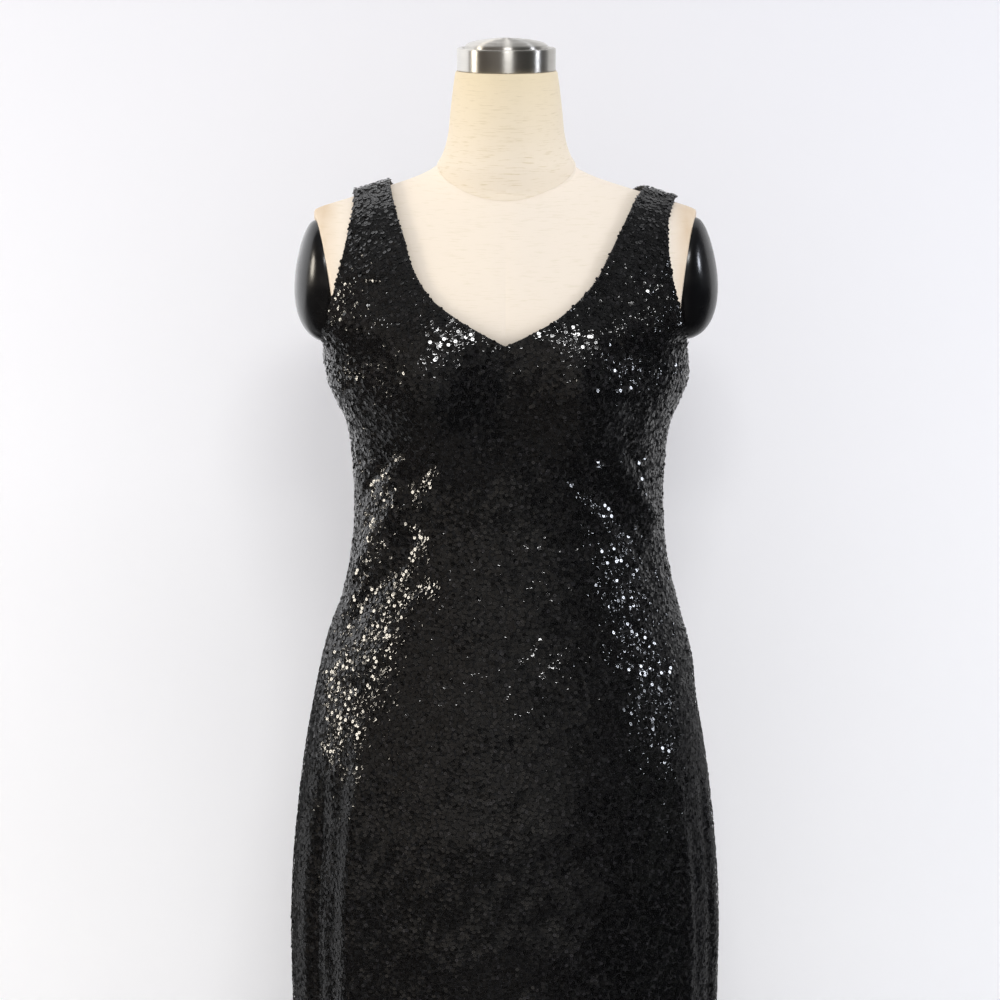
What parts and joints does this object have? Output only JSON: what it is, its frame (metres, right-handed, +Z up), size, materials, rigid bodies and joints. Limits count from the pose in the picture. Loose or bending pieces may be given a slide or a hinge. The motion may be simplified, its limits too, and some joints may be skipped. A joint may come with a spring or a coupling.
{
  "type": "sequin maxi dress on dress form",
  "caption": "Full-length sleeveless V-neck sequin dress worn by a limbless dress form with a steel neck cap, oval arm caps, a pole and a round base.",
  "frame": {"origin": "under the middle of the round base, on the floor", "axes": "+Z up, the front faces -Y, and +X is on the right as seen from the front"},
  "size_m": [0.4376, 0.3316, 1.5956],
  "materials": {
    "black_sequin_cloth": "black knit covered with 4 mm flat black gloss sequins",
    "cream_linen": "cream linen, matt, stretched over a padded form",
    "brushed_steel": "turned stainless steel",
    "black_gloss_plastic": "polished black",
    "black_painted_steel": "semi-gloss black paint"
  },
  "bodies": {
    "root": {"dress_front": "black_sequin_cloth", "dress_back": "black_sequin_cloth", "form_torso": "cream_linen", "form_neck": "cream_linen", "form_arm_plate_left": "cream_linen", "form_arm_plate_right": "cream_linen", "form_neck_cap": "brushed_steel", "form_arm_cap_left": "black_gloss_plastic", "form_arm_cap_right": "black_gloss_plastic", "form_pole": "brushed_steel", "form_base": "black_painted_steel"}
  },
  "joints": []
}
